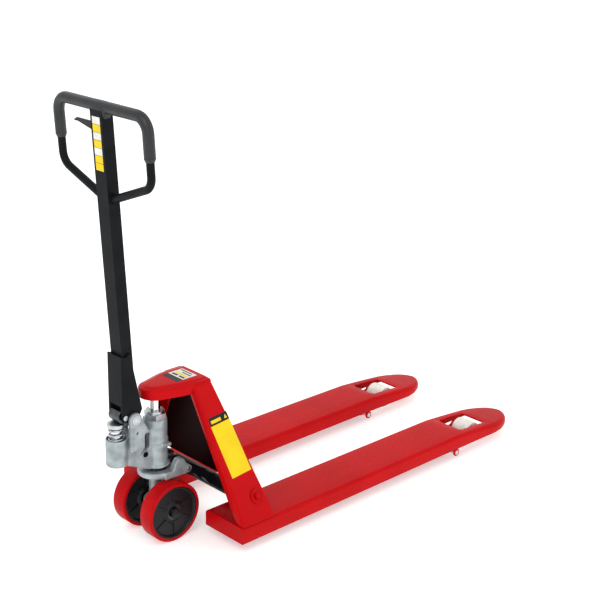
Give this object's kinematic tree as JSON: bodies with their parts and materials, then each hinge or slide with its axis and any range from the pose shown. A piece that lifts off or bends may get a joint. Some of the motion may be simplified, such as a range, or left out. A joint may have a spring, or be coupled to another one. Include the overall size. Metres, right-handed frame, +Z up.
{
  "type": "hand pallet jack",
  "caption": "Hand pallet jack: two load forks on a flared frame, a hydraulic pump unit that steers on front wheels, a pump handle and swinging load rollers.",
  "frame": {"origin": "on the floor under the middle of the whole jack, forks down", "axes": "+X along the forks towards their tips, +Z up"},
  "size_m": [1.513, 0.552, 1.2736],
  "materials": {
    "red_paint": "gloss red enamel",
    "dark_red_paint": "gloss red enamel in shade",
    "black_paint": "satin black powder coat",
    "grip_rubber": "moulded black grip",
    "cast_housing": "silver-grey painted casting",
    "zinc_steel": "zinc plated",
    "polished_steel": "ground and polished",
    "bearing_steel": "bearing steel",
    "red_urethane": "cast polyurethane",
    "black_core": "moulded core",
    "nylon": "turned nylon",
    "label_yellow": "printed film",
    "label_white": "printed film",
    "lever_plastic": "moulded"
  },
  "bodies": {
    "frame": {"fork_left": "red_paint", "fork_right": "red_paint", "side_plate_left": "red_paint", "side_plate_right": "red_paint", "head_box": "red_paint", "front_plate": "dark_red_paint", "frame_bosses": "red_paint", "rocker_bearing_blocks": "red_paint", "lift_ram": "polished_steel", "ram_ball": "bearing_steel", "link_pivot_pins": "zinc_steel", "side_label_sheets": "label_yellow", "head_label_sheet": "label_white"},
    "base": {"base_yoke": "cast_housing", "yoke_pins": "zinc_steel", "bearing_lower_race": "bearing_steel"},
    "steering_unit": {"bearing_balls": "bearing_steel", "bearing_upper_race": "bearing_steel", "pump_housing": "cast_housing", "ram_gland_nut": "zinc_steel", "valve_cap": "black_paint", "axle_stem": "cast_housing", "wheel_axle": "zinc_steel", "axle_circlips": "zinc_steel", "handle_pivot_pin": "zinc_steel", "release_lever_pin": "zinc_steel", "plunger_spring": "zinc_steel"},
    "wheel_left": {"wheel_core_left": "black_core", "wheel_tread_left": "red_urethane", "wheel_bearings_left": "bearing_steel"},
    "wheel_right": {"wheel_core_right": "black_core", "wheel_tread_right": "red_urethane", "wheel_bearings_right": "bearing_steel"},
    "plunger": {"pump_plunger": "polished_steel", "plunger_cap": "zinc_steel"},
    "handle": {"handle_bracket": "black_paint", "handle_post": "black_paint", "handle_loop": "black_paint", "loop_arms": "black_paint", "handle_grip": "grip_rubber", "handle_label": "label_white", "press_roller_pin": "zinc_steel", "control_lever_pin": "zinc_steel"},
    "press_roller": {"press_roller": "bearing_steel"},
    "control_lever": {"control_lever": "lever_plastic"},
    "release_rod": {"release_rod": "zinc_steel"},
    "release_lever": {"release_lever": "zinc_steel"},
    "rocker": {"rocker": "black_paint"},
    "pushrod_left": {"pushrod_left": "black_paint"},
    "pushrod_right": {"pushrod_right": "black_paint"},
    "link_left": {"wheel_link_left": "red_paint", "link_lug_pins_left": "zinc_steel", "roller_axle_left": "zinc_steel"},
    "link_right": {"wheel_link_right": "red_paint", "link_lug_pins_right": "zinc_steel", "roller_axle_right": "zinc_steel"},
    "load_roller_left": {"load_roller_left": "nylon"},
    "load_roller_right": {"load_roller_right": "nylon"}
  },
  "joints": [
    {"name": "lift", "type": "slide", "parent": "frame", "child": "base", "axis": [0, 0, -1], "range_m": [0, 0.115]},
    {"name": "steering", "type": "hinge", "parent": "base", "child": "steering_unit", "pos_m": [-0.58352, 0, 0.2], "axis": [0, 0, 1], "range_deg": [-65, 65]},
    {"name": "wheel_left_spin", "type": "hinge", "parent": "steering_unit", "child": "wheel_left", "pos_m": [-0.58352, 0.063, 0.09], "axis": [0, 1, 0], "continuous": true},
    {"name": "wheel_right_spin", "type": "hinge", "parent": "steering_unit", "child": "wheel_right", "pos_m": [-0.58352, -0.063, 0.09], "axis": [0, 1, 0], "continuous": true},
    {"name": "handle_swing", "type": "hinge", "parent": "steering_unit", "child": "handle", "pos_m": [-0.68152, 0, 0.394], "axis": [0, -1, 0], "range_deg": [0, 78], "stiffness_Nm_per_rad": 22, "springref_deg": -34.38},
    {"name": "plunger_stroke", "type": "slide", "parent": "steering_unit", "child": "plunger", "axis": [0, 0, -1], "range_m": [0, 0.0362], "deforming": ["plunger_spring"]},
    {"name": "press_roller_spin", "type": "hinge", "parent": "handle", "child": "press_roller", "pos_m": [-0.70952, 0, 0.404], "axis": [0, 1, 0], "continuous": true},
    {"name": "control_lever_tilt", "type": "hinge", "parent": "handle", "child": "control_lever", "pos_m": [-0.73514, -0.01, 1.20122], "axis": [0.9978, 0, 0.0663], "range_deg": [-14, 14], "stiffness_Nm_per_rad": 0.6},
    {"name": "release_rod_slide", "type": "slide", "parent": "handle", "child": "release_rod", "axis": [-0.0663, 0, 0.9978], "range_m": [-0.0042, 0.0042]},
    {"name": "release_lever_tilt", "type": "hinge", "parent": "steering_unit", "child": "release_lever", "pos_m": [-0.66552, 0.027, 0.275], "axis": [0, 1, 0], "range_deg": [-8, 8]},
    {"name": "rocker_turn", "type": "hinge", "parent": "frame", "child": "rocker", "pos_m": [-0.38352, 0, 0.105], "axis": [0, -1, 0], "range_deg": [0, 48.1]},
    {"name": "pushrod_left_slide", "type": "slide", "parent": "frame", "child": "pushrod_left", "axis": [1, 0, 0], "range_m": [0, 0.03596]},
    {"name": "link_left_swing", "type": "hinge", "parent": "frame", "child": "link_left", "pos_m": [0.44148, 0.195, 0.026], "axis": [0, 1, 0], "range_deg": [0, 54.2]},
    {"name": "load_roller_left_spin", "type": "hinge", "parent": "link_left", "child": "load_roller_left", "pos_m": [0.57768, 0.195, 0.037], "axis": [0, 1, 0], "continuous": true},
    {"name": "pushrod_right_slide", "type": "slide", "parent": "frame", "child": "pushrod_right", "axis": [1, 0, 0], "range_m": [0, 0.03596]},
    {"name": "link_right_swing", "type": "hinge", "parent": "frame", "child": "link_right", "pos_m": [0.44148, -0.195, 0.026], "axis": [0, 1, 0], "range_deg": [0, 54.2]},
    {"name": "load_roller_right_spin", "type": "hinge", "parent": "link_right", "child": "load_roller_right", "pos_m": [0.57768, -0.195, 0.037], "axis": [0, 1, 0], "continuous": true}
  ],
  "couplings": [
    {"joint": "rocker_turn", "follows": "lift", "rad_per_m": 7.2999},
    {"joint": "plunger_stroke", "follows": "handle_swing", "m_per_rad": 0.026444},
    {"joint": "release_rod_slide", "follows": "control_lever_tilt", "m_per_rad": 0.016},
    {"joint": "release_lever_tilt", "follows": "control_lever_tilt", "ratio": 0.5},
    {"joint": "pushrod_left_slide", "follows": "lift", "ratio": 0.31185},
    {"joint": "link_left_swing", "follows": "lift", "rad_per_m": 8.2257},
    {"joint": "pushrod_right_slide", "follows": "lift", "ratio": 0.31185},
    {"joint": "link_right_swing", "follows": "lift", "rad_per_m": 8.2257}
  ]
}
